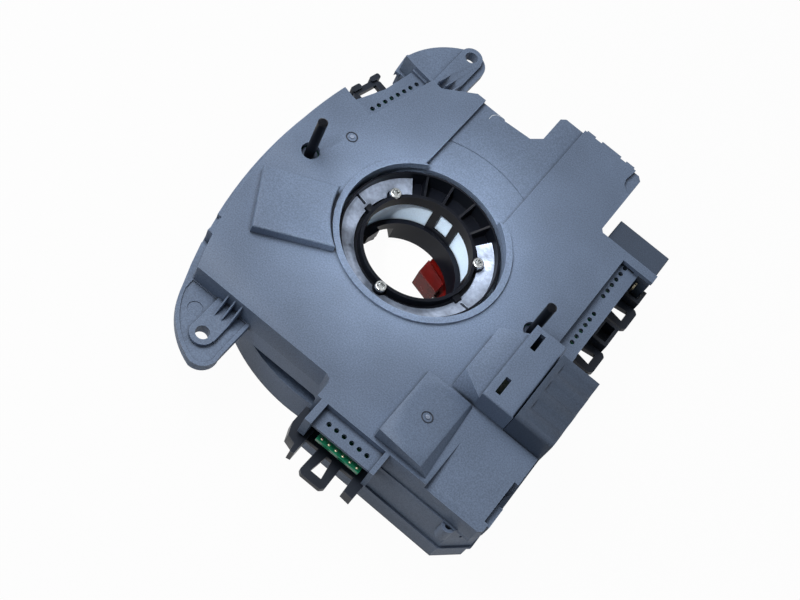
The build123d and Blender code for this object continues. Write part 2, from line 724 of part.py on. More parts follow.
# Clips that reach up into the cover's side windows
clip_y0 = front_y + 5.2
middle_housing += block(right_edge_x - 1.6, right_edge_x + 1.2, clip_y0, clip_y0 + 9.8,
                        joint_z - 1, -plate_wall - 2.5)
middle_housing += block(side_clip_x - 1.6, side_clip_x + 1.2, side_clip_y0 + 3, side_clip_y1 - 4,
                        joint_z - 1, -5)
middle_housing += block(29.5, 40, tongue_top_y - 0.2, tongue_top_y + 1.8, joint_z - 4, -0.8)
rear_cover -= block(right_edge_x - 1.9, wide, clip_y0 - 0.3, facet_rear_y + 0.5, joint_z - 1, 1)
middle_housing -= block(side_connector_left_x - 0.15, side_connector_right_x + 0.15,
                        side_connector_front_y - 0.15, 66, -side_connector_foot_depth - 0.15, joint_z + 1)
middle_housing -= main_connector_pins + side_connector_pins
middle_housing -= post(0, 0, skirt_radius + 0.1, -wide, -skirt_top_depth)
middle_housing -= rear_cover

# Front cover
foot_z = -foot_depth
front_cover = ring(skirt_radius - skirt_wall, skirt_radius, foot_z, -skirt_top_depth)
front_cover += raise_face(corner_outline, foot_z, -box_joint_depth)
front_cover -= raise_face(inner_corner, foot_z + 2, -box_joint_depth)
lip_foot_z = -tab_top_depth + fit_gap
lip_inner = rotor_front_radius + 0.6
front_cover += ring(lip_inner, skirt_radius - 1, lip_foot_z, lip_foot_z + 2.2)
tab_x = (tab_left_x + tab_right_x) / 2
tab_end_y = sqrt(tab_end_radius**2 - tab_x**2)
notch = block(
    tab_x - tab_neck_width / 2 - 0.6,
    tab_x + tab_neck_width / 2 + 0.6,
    lip_inner - 3,
    skirt_radius - skirt_wall,
    lip_foot_z - 1,
    lip_foot_z + 4,
)
for turn in range(lock_notches):
    front_cover -= Rot(0, 0, turn * 360 / lock_notches) * notch

# Circuit board with a tongue under the bottom strip
board_face = inset(outline, side_wall + board_clearance) - Circle(board_bore_radius)
circuit_board = raise_face(board_face, board_foot_z, board_z)
circuit_board -= prism(open_corner, board_foot_z - 1, board_z + 1)
circuit_board += block(19.5, 40, front_y - 9.9, front_y + 5, board_foot_z, board_z)
circuit_board -= block(tongue_left_x - 2, tongue_right_x + 2, 75, wide, board_foot_z - 1, board_z + 1)
for pin_x in (left_pin_x, right_pin_x):
    circuit_board -= post(pin_x, pin_y, pin_recess_radius, board_foot_z - 1, board_z + 1)
circuit_board -= main_connector_pins + side_connector_pins

# Chips
board_processor = block(-8, 8, -62, -46, board_z, board_z + 1.6)
sensor_chips = Part()
for gear_x, gear_y, teeth, angle in gear_places:
    sensor_chips += block(gear_x - 2.5, gear_x + 2.5, gear_y - 2, gear_y + 2, board_z, board_z + 1.2)

# Rotor hub
tube_outer = tube_radius + tube_wall
rotor_hub = ring(foot_bore_radius, tube_outer, -tube_foot_depth, -tube_lip_depth)
rotor_hub -= post(0, 0, window_bore_radius, -window_foot_depth, -window_top_depth)
rotor_hub -= post(0, 0, tube_radius, -window_top_depth, 0)
crown_foot_z = -crown_floor_depth - crown_floor_thickness
rotor_hub += ring(tube_outer - 0.2, crown_radius, crown_foot_z, -crown_floor_depth)
rotor_hub += ring(crown_radius - crown_wall, crown_radius, crown_foot_z, -crown_lip_depth)
window_band = ring(tube_radius - 1, tube_outer + 0.05, -window_foot_depth, -window_top_depth)
for angle0, angle1 in ((25, 73), (105, 175), (203, 251), (294, 342)):
    rotor_hub -= window_band & sector(angle0, angle1, 40, -window_foot_depth, -window_top_depth)
small_window = sector(80.5, 96.5, 40, -window_foot_depth + 2.4, -window_top_depth)
rotor_hub -= window_band & small_window
for angle in (60, 80, 100, 120):
    profile = [
        Vector(tube_outer - 0.3, 0, -crown_floor_depth - 0.2),
        Vector(tube_outer - 0.3, 0, -tube_lip_depth),
        Vector(crown_radius - 0.2, 0, -crown_lip_depth - 0.3),
        Vector(crown_radius - 0.2, 0, -crown_floor_depth - 0.2),
    ]
    rib = extrude(make_face(Polyline(*profile, close=True)), amount=rib_thickness / 2, dir=(0, 1, 0), both=True)
    rotor_hub += Rot(0, 0, angle) * rib
screw_angles = [screw_start_angle + 120 * i for i in range(3)]
ring_screws = Part()
for angle in screw_angles:
    boss_x, boss_y = polar(boss_circle_radius, angle)
    rotor_hub += post(boss_x, boss_y, boss_radius, crown_foot_z, -boss_top_depth)
    rotor_hub -= post(boss_x, boss_y, screw_head_radius + 0.25, -boss_top_depth, 0)
    rotor_hub -= post(boss_x, boss_y, screw_shank_radius, -wide, 0)
    ring_screws += post(boss_x, boss_y, screw_head_radius, -boss_top_depth, -boss_top_depth + screw_head_height)
    ring_screws += post(boss_x, boss_y, screw_shank_radius, -boss_top_depth - screw_length, -boss_top_depth)
lug_reach = 20.3
lug_width = 7.0
lug = block(lug_reach, tube_radius + 0.5, -lug_width / 2, lug_width / 2, -32, -window_foot_depth)
rotor_hub += Rot(0, 0, 168) * lug
rotor_hub -= ring(tube_outer, tube_outer + 3, crown_foot_z - 20, crown_foot_z)
key_notch = sector(135, 153, 40, -tube_foot_depth - 1, -tube_foot_depth + 8)
rotor_hub -= key_notch

# Glossy C-shaped retaining ring, open over the ribs
ring_inner = boss_circle_radius + 0.6
ring_outer = crown_radius - crown_wall - 0.1
ring_profile = [
    Vector(ring_inner, 0, -crown_floor_depth),
    Vector(ring_inner, 0, -9.0),
    Vector(ring_outer, 0, -7.0),
    Vector(ring_outer, 0, -8.6),
    Vector(ring_inner + 1.6, 0, -10.2),
    Vector(ring_inner + 1.6, 0, -crown_floor_depth),
]
retaining_ring = revolve(make_face(Polyline(*ring_profile, close=True)), axis=Axis.Z)
retaining_ring -= sector(50, 130, 60, -wide, wide)
for angle in screw_angles:
    boss_x, boss_y = polar(boss_circle_radius, angle)
    retaining_ring -= post(boss_x, boss_y, boss_radius + 0.5, -wide, wide)
clip_reach = ring_inner + 0.8
clip_half_width = 1.6
for angle in (177, 346.4):
    slit = block(ring_inner + 2, ring_outer + 1, -0.6, 0.6, -wide, wide)
    clip = block(tube_outer - 0.2, clip_reach, -clip_half_width, clip_half_width, crown_foot_z + 0.2, -8)
    gap = block(ring_inner - 1, clip_reach + fit_gap, -clip_half_width - fit_gap, clip_half_width + fit_gap,
                -wide, wide)
    retaining_ring -= Rot(0, 0, angle) * (slit + gap)
    rotor_hub += Rot(0, 0, angle) * clip

# Code ring: gear flange outside the crown, ribbon drum below
drum_inner = crown_radius + fit_gap
drum_foot_z = -rotor_plate_top_depth
post_ring_inner = tube_outer + fit_gap
code_ring = ring(drum_inner, drum_radius, drum_foot_z, -ring_gear_top_depth)
code_ring += ring(post_ring_inner, post_ring_inner + drum_wall, drum_foot_z, crown_foot_z)
code_ring += ring(post_ring_inner + 1, drum_inner + 1, drum_foot_z, drum_foot_z + 1.8)
for angle in screw_angles:
    boss_x, boss_y = polar(boss_circle_radius, angle)
    code_ring -= post(boss_x, boss_y, screw_shank_radius, -boss_top_depth - screw_length, 0)


def gear_face(teeth, phase, inner):
    """A gear's outline with plain tapered teeth, its first tooth at the phase angle."""
    pitch_radius = teeth * tooth_module / 2
    root = pitch_radius - 0.95 * tooth_module
    tip = pitch_radius + 0.7 * tooth_module
    points = []
    for tooth in range(teeth):
        angle = phase + tooth * 360 / teeth
        for radius, width in ((root, 1.15), (pitch_radius, 0.85), (tip, 0.5)):
            half = degrees(width / 2 / radius)
            points.append((radius, angle - half))
        for radius, width in ((tip, 0.5), (pitch_radius, 0.85), (root, 1.15)):
            half = degrees(width / 2 / radius)
            points.append((radius, angle + half))
    return make_face(Polyline(*[polar(r, a) for r, a in points], close=True)) - Circle(inner)


ring_phase = gear_a_angle
ring_gear_foot_z = -ring_gear_top_depth - ring_gear_thickness
ring_gear = gear_face(ring_teeth, ring_phase, drum_inner + 1)
code_ring += raise_face(ring_gear, ring_gear_foot_z, -ring_gear_top_depth)

sensor_gears = []
magnets = []
for gear_x, gear_y, teeth, angle in gear_places:
    steps = (angle - ring_phase) / (360 / ring_teeth)
    to_tooth = (steps - round(steps)) * 360 / ring_teeth
    phase = angle + 180 + 180 / teeth + to_tooth * ring_teeth / teeth
    gear = Pos(gear_x, gear_y, 0) * raise_face(gear_face(teeth, phase, 0.5), gear_foot_z, -gear_top_depth)
    gear += post(gear_x, gear_y, 1, gear_foot_z, -gear_top_depth)
    gear -= post(gear_x, gear_y, gear_post_radius + running_gap, gear_foot_z, gear_foot_z + 1.0 + 0.05)
    magnet_foot_z = -gear_top_depth - magnet_thickness + fit_gap
    gear -= post(gear_x, gear_y, magnet_radius, magnet_foot_z, -gear_top_depth + 1)
    sensor_gears.append(gear)
    magnets.append(post(gear_x, gear_y, magnet_radius, magnet_foot_z, magnet_foot_z + magnet_thickness))

# Rotor front with its rim, drivers, sockets and the channel of the lock tab
plate_z1 = -rotor_plate_top_depth
plate_z0 = plate_z1 - rotor_plate_thickness
rotor_front = ring(tube_outer, rotor_front_radius, plate_z0, plate_z1)
rotor_front += ring(rotor_front_radius - rotor_rim_wall, rotor_front_radius, -rotor_foot_depth + 4, plate_z1)
rotor_front += ring(tube_outer, tube_outer + 2, -tube_foot_depth, plate_z1)
rotor_front -= key_notch & post(0, 0, tube_outer + 2.5, -wide, plate_z0 - 0.5)
for driver_angle in (205, 335):
    driver_x, driver_y = polar(52, driver_angle)
    rotor_front += post(driver_x, driver_y, 4, -rotor_foot_depth, plate_z0)
airbag_sockets = Part()
airbag_pins = Part()
socket_foot_z = -rotor_foot_depth + 0.7
for side in (-1, 1):
    socket_x = side * airbag_socket_x
    rotor_front -= post(socket_x, airbag_socket_y, airbag_socket_radius - 1, -wide, plate_z1 + 1)
    socket = post(socket_x, airbag_socket_y, airbag_socket_radius, socket_foot_z, plate_z0)
    socket += post(socket_x, airbag_socket_y, airbag_socket_radius - 1, plate_z0, plate_z1)
    inner_radius = airbag_socket_radius - airbag_socket_wall
    socket -= post(socket_x, airbag_socket_y, inner_radius, -wide, plate_z0 - 0.5)
    for pin_offset in (-1.8, 1.8):
        contact = post(socket_x + pin_offset, airbag_socket_y, 0.5, plate_z0 - 5.5, plate_z1)
        airbag_pins += contact
        socket -= contact
    airbag_sockets += socket
switch_half = switch_socket_width / 2
switch_y0 = switch_socket_y - switch_socket_depth / 2
switch_y1 = switch_socket_y + switch_socket_depth / 2
rotor_front += block(-switch_half, switch_half, switch_y0, switch_y1, socket_foot_z, plate_z0)
rotor_front -= block(-switch_half + 1.5, switch_half - 1.5, switch_y0 + 1.5, switch_y1 - 1.5, -wide, plate_z0)
switch_pins = Part()
for column in range(8):
    for row in (-1.3, 1.3):
        contact_x = (column - 3.5) * 3
        contact_y = switch_socket_y + row
        switch_pins += block(contact_x - 0.3, contact_x + 0.3, contact_y - 0.3, contact_y + 0.3,
                             plate_z0 - 5.5, plate_z1)
rotor_front -= switch_pins
tab_foot = -tab_top_depth - tab_thickness
neck_x0 = tab_x - tab_neck_width / 2
neck_x1 = tab_x + tab_neck_width / 2
for rail_x0, rail_x1, ledge_x0, ledge_x1 in (
    (neck_x0 - 2.1, neck_x0 - fit_gap, neck_x0 - 2.1, neck_x0 + 1),
    (neck_x1 + fit_gap, neck_x1 + 2.1, neck_x1 - 1, neck_x1 + 2.1),
):
    rotor_front += block(rail_x0, rail_x1, 36, 66, -rotor_foot_depth, plate_z0)
    rotor_front += block(ledge_x0, ledge_x1, 36, 66, -rotor_foot_depth, tab_foot - fit_gap)
rotor_front -= block(neck_x0 - 0.5, neck_x1 + 0.5, 64, 80, -wide, -tab_top_depth + tab_travel + 0.4)
rotor_front -= block(tab_left_x - 0.4, tab_right_x + 0.4, 2, 30, -wide, -tab_top_depth + tab_travel + 0.4)

# Red lock tab: upright grip in the bore, narrow neck in its channel, end under the lip's notches
lock_tab = block(tab_left_x, tab_right_x, tab_inner_y, 29, tab_foot, -tab_top_depth)
lock_tab = fillet(lock_tab.edges().filter_by(Axis.Z), 1.2)
lock_tab += block(neck_x0, neck_x1, 27, tab_end_y - 0.3, tab_foot, -tab_top_depth)
grip_points = [(4.3, 8.4), (15.7, 5.3), (15.9, 11.4), (4.3, 16.3)]
lock_tab += prism(grip_points, -tab_grip_foot_depth, -tab_grip_top_depth)

# Locating pins with chamfered tips
locating_pins = []
for pin_x in (left_pin_x, right_pin_x):
    pin = post(pin_x, pin_y, pin_radius, floor_z, pin_top)
    locating_pins.append(chamfer(pin.edges().group_by(Axis.Z)[-1], 0.8))

# Ribbon: a flat spiral of half turns whose centres alternate, with the film under the floor
ribbon_z1 = floor_z - floor_thickness - film_thickness - 0.15
ribbon_z0 = ribbon_z1 - ribbon_width
coil_start = drum_radius + 1.6
coil_end = chamber_radius - 1.6
half_step = (coil_end - coil_start) / (2 * ribbon_turns)
ribbon_cable = Part()
for half_turn in range(2 * ribbon_turns):
    sign = 1 if half_turn % 2 == 0 else -1
    centre_x = -half_step if half_turn % 2 else 0
    middle_radius = coil_start + half_step * half_turn
    inner_side = middle_radius - ribbon_thickness / 2
    band = ring(inner_side, inner_side + ribbon_thickness, ribbon_z0, ribbon_z1, centre_x)
    keep = block(-wide, wide, 0, sign * wide, ribbon_z0 - 1, ribbon_z1 + 1)
    ribbon_cable += band & keep
film_z1 = floor_z - floor_thickness
slide_film = ring(floor_bore_radius + 0.6, chamber_radius - 0.3, film_z1 - film_thickness, film_z1)

# Terminal blocks at the ribbon's two ends
ribbon_half = ribbon_thickness / 2
rotor_terminal_block = block(-coil_start + ribbon_half, -drum_radius + 1, -4, 0, ribbon_z0, ribbon_z1)
rotor_terminal_block -= post(0, 0, drum_radius, -wide, wide)
stator_terminal_block = block(-chamber_radius - 0.5, -coil_end - ribbon_half, 0, 5, ribbon_z0, ribbon_z1)
stator_terminal_block &= post(0, 0, chamber_radius, -wide, wide)
stator_terminal_block -= ribbon_cable
rotor_terminal_block -= ribbon_cable

nodes = {
    "rear_cover": rear_cover,
    "middle_housing": middle_housing,
    "front_cover": front_cover,
    "circuit_board": circuit_board,
    "board_processor": board_processor,
    "sensor_chips": sensor_chips,
    "main_connector": main_connector,
    "main_connector_pins": main_connector_pins,
    "side_connector": side_connector,
    "side_connector_pins": side_connector_pins,
    "left_locating_pin": locating_pins[0],
    "right_locating_pin": locating_pins[1],
    "rotor_hub": rotor_hub,
    "retaining_ring": retaining_ring,
    "ring_screws": ring_screws,
    "code_ring": code_ring,
    "rotor_front": rotor_front,
    "airbag_sockets": airbag_sockets,
    "airbag_pins": airbag_pins,
    "switch_pins": switch_pins,
    "sensor_gear_a": sensor_gears[0],
    "sensor_gear_b": sensor_gears[1],
    "magnet_a": magnets[0],
    "magnet_b": magnets[1],
    "ribbon_cable": ribbon_cable,
    "slide_film": slide_film,
    "rotor_terminal_block": rotor_terminal_block,
    "stator_terminal_block": stator_terminal_block,
    "lock_tab": lock_tab,
}
for name, shape in nodes.items():
    export_step(Compound(children=list(shape.solids())), f"parts/{name}.step")
    print(name, len(shape.solids()))
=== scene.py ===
import bpy
import json
import math
from mathutils import Matrix, Vector


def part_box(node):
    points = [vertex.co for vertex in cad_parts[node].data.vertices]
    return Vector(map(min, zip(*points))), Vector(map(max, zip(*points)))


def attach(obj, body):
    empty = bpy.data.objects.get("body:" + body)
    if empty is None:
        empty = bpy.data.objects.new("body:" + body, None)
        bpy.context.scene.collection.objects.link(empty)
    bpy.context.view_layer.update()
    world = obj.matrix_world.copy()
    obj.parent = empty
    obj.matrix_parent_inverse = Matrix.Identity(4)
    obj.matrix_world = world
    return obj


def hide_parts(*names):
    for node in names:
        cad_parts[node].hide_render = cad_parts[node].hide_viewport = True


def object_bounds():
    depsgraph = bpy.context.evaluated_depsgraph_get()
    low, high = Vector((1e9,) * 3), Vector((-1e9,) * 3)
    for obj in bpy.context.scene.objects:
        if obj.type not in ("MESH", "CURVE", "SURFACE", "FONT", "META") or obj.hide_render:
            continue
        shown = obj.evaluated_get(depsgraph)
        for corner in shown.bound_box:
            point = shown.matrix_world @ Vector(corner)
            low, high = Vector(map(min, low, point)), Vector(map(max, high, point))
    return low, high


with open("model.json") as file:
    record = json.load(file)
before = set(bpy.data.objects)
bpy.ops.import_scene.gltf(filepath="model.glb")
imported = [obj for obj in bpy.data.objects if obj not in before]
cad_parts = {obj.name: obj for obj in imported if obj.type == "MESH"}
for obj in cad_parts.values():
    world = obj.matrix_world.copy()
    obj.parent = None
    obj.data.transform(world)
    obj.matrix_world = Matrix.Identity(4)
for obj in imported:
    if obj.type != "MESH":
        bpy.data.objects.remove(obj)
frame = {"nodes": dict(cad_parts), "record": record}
cadLow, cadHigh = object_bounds()
print("frame loaded:", len(frame["nodes"]), "nodes")

mm = 0.001
smoothAngle = math.radians(32)


def deselectAll():
    if bpy.context.object and bpy.context.object.mode != "OBJECT":
        bpy.ops.object.mode_set(mode="OBJECT")
    bpy.ops.object.select_all(action="DESELECT")


def makeActive(piece):
    deselectAll()
    piece.select_set(True)
    bpy.context.view_layer.objects.active = piece


# Finishes: colour, how much it varies, roughness, size and depth of the moulded grain in millimetres,
# painted highlight along edges, painted shade in corners and flecks
finishes = {
    "housingPlastic": {"slot": "housing_plastic", "colour": (0.128, 0.172, 0.255),
                       "vary": 0.12, "cloud": 34.0,
                       "rough": (0.46, 0.6), "grain": 0.6, "depth": 0.13, "specular": 0.3, "edgeHighlight": 0.35,
                       "cornerShade": 0.85, "fleck": 0.18},
    # A dark smooth plastic for the gate marks' rings, also used as painted shade on the housing's hooks,
    # guides and clips
    "darkPlasticAndPaintedShade": {"colour": (0.020, 0.025, 0.036), "vary": 0.2, "cloud": 60.0,
                      "rough": (0.3, 0.42), "grain": 0.6, "depth": 0.02, "specular": 0.14, "edgeHighlight": 0.8,
                      "cornerShade": 0.6},
    "connectorPlastic": {"slot": "connector_plastic", "colour": (0.050, 0.070, 0.108),
                         "vary": 0.10, "cloud": 40.0,
                         "rough": (0.36, 0.5), "grain": 0.5, "depth": 0.04, "specular": 0.3, "edgeHighlight": 0.4,
                         "cornerShade": 0.6, "fleck": 0.2},
    "hubPlastic": {"slot": "hub_plastic", "colour": (0.004, 0.005, 0.008), "vary": 0.2, "cloud": 60.0,
                   "rough": (0.28, 0.4), "grain": 0.4, "depth": 0.008, "specular": 0.4, "ior": 1.2,
                   "edgeHighlight": 0.5},
    # Painted reflection: this glossy black is coloured pale blue in place of the pale surround it reflects
    "glossBlackPaintedReflection": {"slot": "gloss_black", "colour": (0.260, 0.310, 0.410), "vary": 0.55, "cloud": 70.0,
                   "rough": (0.16, 0.34), "grain": 1.6, "depth": 0.06, "specular": 0.5, "metal": 0.6,
                   "edgeHighlight": 0.6, "fleck": 0.15},
    "whitePlastic": {"slot": "white_plastic", "colour": (0.62, 0.77, 0.93), "vary": 0.05, "cloud": 50.0,
                     "rough": (0.4, 0.5), "grain": 0.4, "depth": 0.005, "specular": 0.5},
    "redPlastic": {"slot": "red_plastic", "colour": (0.05, 0.002, 0.0015), "vary": 0.4, "cloud": 120.0,
                   "rough": (0.2, 0.32), "grain": 0.4, "depth": 0.005, "specular": 0.15},
    "yellowPlastic": {"slot": "yellow_plastic", "colour": (0.72, 0.46, 0.05), "vary": 0.06, "cloud": 90.0,
                      "rough": (0.35, 0.45), "grain": 0.4, "depth": 0.005, "specular": 0.5},
    "screwZinc": {"slot": "screw_zinc", "colour": (0.40, 0.42, 0.43), "vary": 0.25, "cloud": 700.0,
                  "rough": (0.2, 0.36), "grain": 0.5, "depth": 0.05, "metal": 1.0, "specular": 0.5},
    "contactMetal": {"slot": "contact_metal", "colour": (0.62, 0.56, 0.40), "vary": 0.08, "cloud": 300.0,
                     "rough": (0.25, 0.38), "grain": 0.2, "depth": 0.003, "metal": 1.0, "specular": 0.5},
    "magnetGrey": {"slot": "magnet_grey", "colour": (0.2, 0.2, 0.21), "vary": 0.1, "cloud": 300.0,
                   "rough": (0.35, 0.5), "grain": 0.2, "depth": 0.004, "metal": 0.6, "specular": 0.5},
    "boardGreen": {"slot": "board_green", "colour": (0.015, 0.22, 0.11), "vary": 0.3, "cloud": 420.0,
                   "rough": (0.22, 0.34), "grain": 0.8, "depth": 0.02, "specular": 0.5, "edgeHighlight": 0.9},
    "chipBlack": {"slot": "chip_black", "colour": (0.02, 0.02, 0.022), "vary": 0.1, "cloud": 300.0,
                  "rough": (0.45, 0.55), "grain": 0.2, "depth": 0.006, "specular": 0.5},
    "ribbonFilm": {"slot": "ribbon_film", "colour": (0.42, 0.24, 0.08), "vary": 0.1, "cloud": 80.0,
                   "rough": (0.18, 0.3), "grain": 1.5, "depth": 0.004, "specular": 0.5},
}


# What all finishes share: lengths in millimetres, and the ranges that turn a node's value into an effect
finishCommon = {"cloudDetail": 4.0, "cloudSpan": (0.3, 0.7), "grainDetail": 3.0, "grainRoughness": 0.6,
                "edgeRadius": 0.4, "edgeSamples": 4, "edgeSpan": (0.985, 0.85),
                "edgeLift": 2.2, "edgeBase": 0.01,
                "cornerReach": 2.2, "cornerSamples": 6, "cornerSpan": (0.35, 0.85), "fleckSpan": (0.35, 0.65),
                "coatRoughness": 0.12}


def makeFinish(name, look):
    material = bpy.data.materials.new(name)
    material.use_nodes = True
    nodes = material.node_tree.nodes
    links = material.node_tree.links
    shader = nodes["Principled BSDF"]
    place = nodes.new("ShaderNodeTexCoord")
    cloud = nodes.new("ShaderNodeTexNoise")
    cloud.inputs["Scale"].default_value = look["cloud"]
    cloud.inputs["Detail"].default_value = finishCommon["cloudDetail"]
    tint = nodes.new("ShaderNodeValToRGB")
    tint.color_ramp.elements[0].position = finishCommon["cloudSpan"][0]
    tint.color_ramp.elements[1].position = finishCommon["cloudSpan"][1]
    tint.color_ramp.elements[0].color = [c * (1 - look["vary"]) for c in look["colour"]] + [1]
    tint.color_ramp.elements[1].color = [c * (1 + look["vary"]) for c in look["colour"]] + [1]
    dull = nodes.new("ShaderNodeMapRange")
    dull.inputs["To Min"].default_value = look["rough"][0]
    dull.inputs["To Max"].default_value = look["rough"][1]
    grain = nodes.new("ShaderNodeTexNoise")
    grain.inputs["Scale"].default_value = 1 / (look["grain"] * mm)
    grain.inputs["Detail"].default_value = finishCommon["grainDetail"]
    grain.inputs["Roughness"].default_value = finishCommon["grainRoughness"]
    bump = nodes.new("ShaderNodeBump")
    bump.inputs["Strength"].default_value = 1.0
    bump.inputs["Distance"].default_value = look["depth"] * mm
    links.new(place.outputs["Object"], cloud.inputs["Vector"])
    links.new(place.outputs["Object"], grain.inputs["Vector"])
    links.new(cloud.outputs["Fac"], tint.inputs["Fac"])
    links.new(cloud.outputs["Fac"], dull.inputs["Value"])
    # Painted highlight: the colour is lightened along rounded edges, where the bevel normal turns away from
    # the surface normal, in place of light caught on the edges
    surface = nodes.new("ShaderNodeNewGeometry")
    rounded = nodes.new("ShaderNodeBevel")
    rounded.samples = finishCommon["edgeSamples"]
    rounded.inputs["Radius"].default_value = finishCommon["edgeRadius"] * mm
    edge = nodes.new("ShaderNodeVectorMath")
    edge.operation = "DOT_PRODUCT"
    edgeHighlightMask = nodes.new("ShaderNodeMapRange")
    edgeHighlightMask.inputs["From Min"].default_value = finishCommon["edgeSpan"][0]
    edgeHighlightMask.inputs["From Max"].default_value = finishCommon["edgeSpan"][1]
    edgeHighlightMask.inputs["To Max"].default_value = look.get("edgeHighlight", 0.1)
    lift = nodes.new("ShaderNodeMix")
    lift.data_type = "RGBA"
    bright = [min(1.0, c * finishCommon["edgeLift"] + finishCommon["edgeBase"]) for c in look["colour"]]
    lift.inputs["B"].default_value = bright + [1]
    links.new(surface.outputs["Normal"], edge.inputs[0])
    links.new(rounded.outputs["Normal"], edge.inputs[1])
    links.new(edge.outputs["Value"], edgeHighlightMask.inputs["Value"])
    links.new(edgeHighlightMask.outputs["Result"], lift.inputs["Factor"])
    links.new(tint.outputs["Color"], lift.inputs["A"])
    # Painted shade: the colour is darkened in corners and creases by ambient occlusion, in place of the shade
    # that falls there
    corner = nodes.new("ShaderNodeAmbientOcclusion")
    corner.samples = finishCommon["cornerSamples"]
    corner.inputs["Distance"].default_value = finishCommon["cornerReach"] * mm
    shade = nodes.new("ShaderNodeMapRange")
    shade.inputs["From Min"].default_value = finishCommon["cornerSpan"][0]
    shade.inputs["From Max"].default_value = finishCommon["cornerSpan"][1]
    shade.inputs["To Min"].default_value = 1 - look.get("cornerShade", 0.3)
    dim = nodes.new("ShaderNodeMix")
    dim.data_type = "RGBA"
    dim.blend_type = "MULTIPLY"
    dim.inputs["Factor"].default_value = 1.0
    links.new(corner.outputs["AO"], shade.inputs["Value"])
    links.new(lift.outputs["Result"], dim.inputs["A"])
    links.new(shade.outputs["Result"], dim.inputs["B"])
    shader.inputs["Coat Weight"].default_value = look.get("coat", 0.0)
    shader.inputs["Coat Roughness"].default_value = finishCommon["coatRoughness"]
    links.new(dull.outputs["Result"], shader.inputs["Roughness"])
    links.new(grain.outputs["Fac"], bump.inputs["Height"])
    fleck = nodes.new("ShaderNodeMapRange")
    fleck.inputs["From Min"].default_value = finishCommon["fleckSpan"][0]
    fleck.inputs["From Max"].default_value = finishCommon["fleckSpan"][1]
    fleck.inputs["To Min"].default_value = 1 - look.get("fleck", 0.08)
    fleck.inputs["To Max"].default_value = 1 + look.get("fleck", 0.08)
    speckled = nodes.new("ShaderNodeMix")
    speckled.data_type = "RGBA"
    speckled.blend_type = "MULTIPLY"
    speckled.inputs["Factor"].default_value = 1.0
    links.new(grain.outputs["Fac"], fleck.inputs["Value"])
    links.new(dim.outputs["Result"], speckled.inputs["A"])
    links.new(fleck.outputs["Result"], speckled.inputs["B"])
    links.new(speckled.outputs["Result"], shader.inputs["Base Color"])
    links.new(bump.outputs["Normal"], shader.inputs["Normal"])
    shader.inputs["Metallic"].default_value = look.get("metal", 0.0)
    shader.inputs["IOR"].default_value = look.get("ior", 1.5)
    shader.inputs["Specular IOR Level"].default_value = look["specular"]
    return material


finishMaterials = {name: makeFinish(name, look) for name, look in finishes.items()}
finishOfSlot = {look["slot"]: name for name, look in finishes.items() if "slot" in look}
slotOfNode = {part["node"]: part["material_slot"] for part in frame["record"]["subparts"]}
bodyOfNode = {}
for bodyName, members in frame["record"]["behaviour"]["bodies"].items():
    for member in members:
        bodyOfNode[member] = bodyName


def dress(piece, finishName):
    piece.data.materials.clear()
    piece.data.materials.append(finishMaterials[finishName])


# The two locating pins are blacker than the rest of their moulding group
darkNodes = ("left_locating_pin", "right_locating_pin")
for nodeName, nodeObject in frame["nodes"].items():
    dress(nodeObject, "hubPlastic" if nodeName in darkNodes else finishOfSlot[slotOfNode[nodeName]])
print("materials on", len(frame["nodes"]), "nodes")


def onto(piece, x, y):
    """Where a line straight down at x and y meets the piece, and the surface's normal there."""
    start = Vector((x * mm, y * mm, 0.1))
    found, place, normal, face = piece.ray_cast(start, Vector((0, 0, -1)))
    if not found:
        raise ValueError(f"nothing of {piece.name} lies under {x}, {y}")
    return place, normal


def joinInto(piece, extras):
    deselectAll()
    for extra in extras:
        extra.select_set(True)
    piece.select_set(True)
    bpy.context.view_layer.objects.active = piece
    bpy.ops.object.join()
    return bpy.context.view_layer.objects.active


def applyAll(piece):
    makeActive(piece)
    bpy.ops.object.transform_apply(location=True, rotation=True, scale=True)
    return piece


# Gate marks: a low ring round a small stub, where the mould was filled
gateMark = {"places": [(-50.5, 17.5), (46.8, -63.8)], "radius": 2.3, "ringThickness": 0.3, "stubRadius": 0.9,
            "stubHeight": 0.45}


def makeGateMarks(look, cover):
    marks = []
    for x, y in look["places"]:
        place, normal = onto(cover, x, y)
        turn = normal.to_track_quat("Z", "Y").to_euler()
        bpy.ops.mesh.primitive_torus_add(major_radius=look["radius"] * mm,
                                         minor_radius=look["ringThickness"] * mm,
                                         major_segments=32, minor_segments=8, location=place, rotation=turn)
        marks.append(applyAll(bpy.context.object))
        dress(marks[-1], "darkPlasticAndPaintedShade")
        bpy.ops.mesh.primitive_cylinder_add(vertices=20, radius=look["stubRadius"] * mm, location=place,
                                            depth=2 * look["stubHeight"] * mm, rotation=turn)
        marks.append(applyAll(bpy.context.object))
        dress(marks[-1], "glossBlackPaintedReflection")
    return marks


# Small bright scratch on the panel side of the cover
scratch = {"points": [(-14.3, 72.0), (-14.3, 74.3), (-13.0, 76.2), (-10.6, 77.0)],
           "width": 0.25, "height": 0.03, "colour": (0.75, 0.8, 0.86)}


